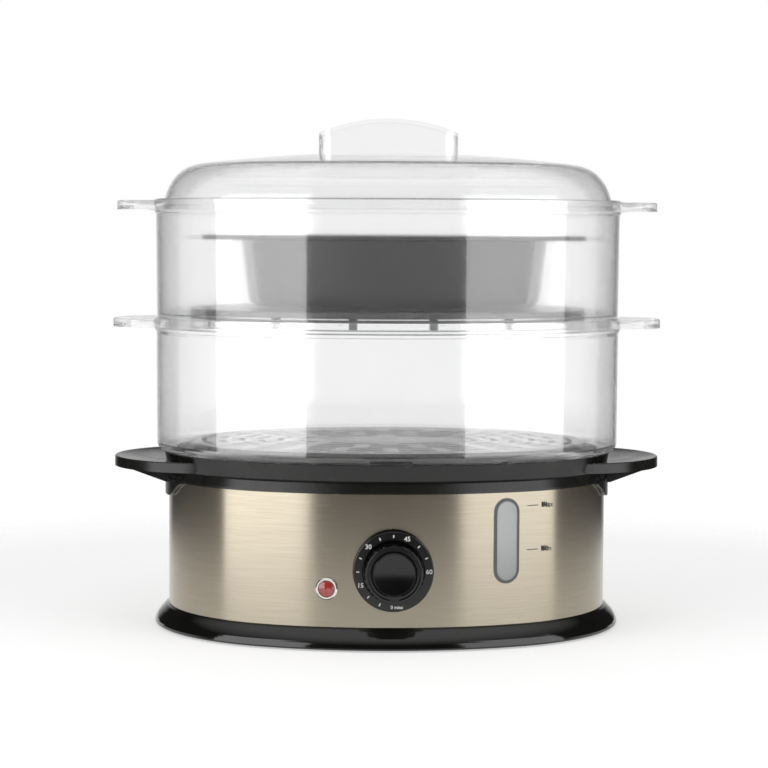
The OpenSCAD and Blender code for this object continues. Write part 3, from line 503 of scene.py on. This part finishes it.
# %% [markdown]
# ## World
# Seen directly, or through the clear walls, the world is plain white. Mirrors see a
# studio instead: dark in front and at the sides, where the camera stands, white behind
# the steamer and pale overhead. Matt surfaces get one even grey, which sets the level at
# which a colour looks as it was written.

# %% World
DARK, EVEN, OVERHEAD = 0.02, 0.40, 0.9
BEHIND, ABOVE = (0.88, 1.0), (0.55, 0.90)

world = bpy.data.worlds.new("studio")
bpy.context.scene.world = world
world.use_nodes = True
sky = world.node_tree
sky.nodes.clear()


def world_node(kind, *values, **settings):
    """Adds a node to the world; values feed its inputs in order."""
    node = sky.nodes.new(kind)
    for key, value in settings.items():
        setattr(node, key, value)
    for socket, value in zip(node.inputs, values):
        if isinstance(value, bpy.types.NodeSocket):
            sky.links.new(value, socket)
        else:
            socket.default_value = value
    return node.outputs


toward = world_node("ShaderNodeSeparateXYZ", world_node("ShaderNodeTexCoord")["Generated"])
behind = world_node("ShaderNodeMapRange", toward["Y"], *BEHIND, DARK, 1.0)[0]
above = world_node("ShaderNodeMapRange", toward["Z"], *ABOVE, DARK, OVERHEAD)[0]
mirrored = world_node("ShaderNodeMath", behind, above, operation="MAXIMUM")[0]
rays = world_node("ShaderNodeLightPath")
direct = world_node("ShaderNodeMath", rays["Is Camera Ray"], rays["Is Transmission Ray"],
                    operation="MAXIMUM")[0]
strengths = (EVEN, mirrored, 1.0)
even, studio, plain = (world_node("ShaderNodeBackground", (1, 1, 1, 1), level)[0]
                       for level in strengths)
light = world_node("ShaderNodeMixShader", rays["Is Glossy Ray"], even, studio)[0]
world_node("ShaderNodeOutputWorld", world_node("ShaderNodeMixShader", direct, light, plain)[0])
world.cycles.sampling_method = "NONE"
print("world: dark", DARK, "even", EVEN, "overhead", OVERHEAD)

# %% [markdown]
# ## Lamps
# Two wide softboxes stand on the floor left and right of the camera. Their inner edges
# draw the sharp sides of the two bright columns on the steel and the baskets, with a
# darker middle between them. The left one is a little brighter, as in a product studio
# where it is the key light.

# %% Lamps
KEY, SECOND = 2.6, 2.1
BOX_AWAY, BOX_LOW, BOX_HIGH = 1.3, -0.25, 0.95


def softbox(name, start, end, radiance):
    """An upright area lamp that covers azimuths start to end, turned toward the steamer."""
    angle, half = math.radians((start + end) / 2), math.radians(abs(end - start) / 2)
    lamp = bpy.data.lights.new(name, "AREA")
    lamp.shape = "RECTANGLE"
    lamp.size, lamp.size_y = 2 * BOX_AWAY * math.tan(half), BOX_HIGH - BOX_LOW
    lamp.energy = radiance * math.pi * lamp.size * lamp.size_y
    holder = bpy.data.objects.new(name, lamp)
    holder.location = (math.sin(angle) * BOX_AWAY, -math.cos(angle) * BOX_AWAY,
                       (BOX_HIGH + BOX_LOW) / 2)
    inward = Vector((-holder.location.x, -holder.location.y, 0))
    holder.rotation_euler = inward.to_track_quat("-Z", "Y").to_euler()
    bpy.context.scene.collection.objects.link(holder)
    holder.visible_camera = False


softbox("softbox_left", -79, -30, KEY)
softbox("softbox_right", 28, 80, SECOND)
print("softboxes at radiance", KEY, "and", SECOND)

# %% [markdown]
# ## Camera
# The picture was taken from about a metre and a half with a long lens, from just below
# the upper basket's rim and a hair to the left, tilted down until the steamer sits in
# mid-frame. It leaned a quarter of a degree, as hand-levelled cameras do.

# %% Camera
SENSOR = 36.0
LENS = 113.4
DISTANCE = 1.5
EYE_Z = band_high.z + 155.5 * MM
AIM_Z = band_high.z + 57.5 * MM
AZIMUTH = -2.1
AIM_X = -2.2 * MM
ROLL = 0.28

turn = math.radians(AZIMUTH)
view = bpy.data.cameras.new("view")
view.sensor_width, view.lens = SENSOR, LENS
view.clip_start, view.clip_end = 0.1, 20
camera = bpy.data.objects.new("view", view)
camera.location = (math.sin(turn) * DISTANCE, -math.cos(turn) * DISTANCE, EYE_Z)
look = Vector((AIM_X, 0, AIM_Z)) - camera.location
level = look.to_track_quat("-Z", "Y").to_matrix()
camera.rotation_euler = (level @ Matrix.Rotation(math.radians(ROLL), 3, "Z")).to_euler()
bpy.context.scene.collection.objects.link(camera)
bpy.context.scene.camera = camera
bpy.context.scene.view_settings.view_transform = "Standard"
print("camera at", [round(v, 3) for v in camera.location])
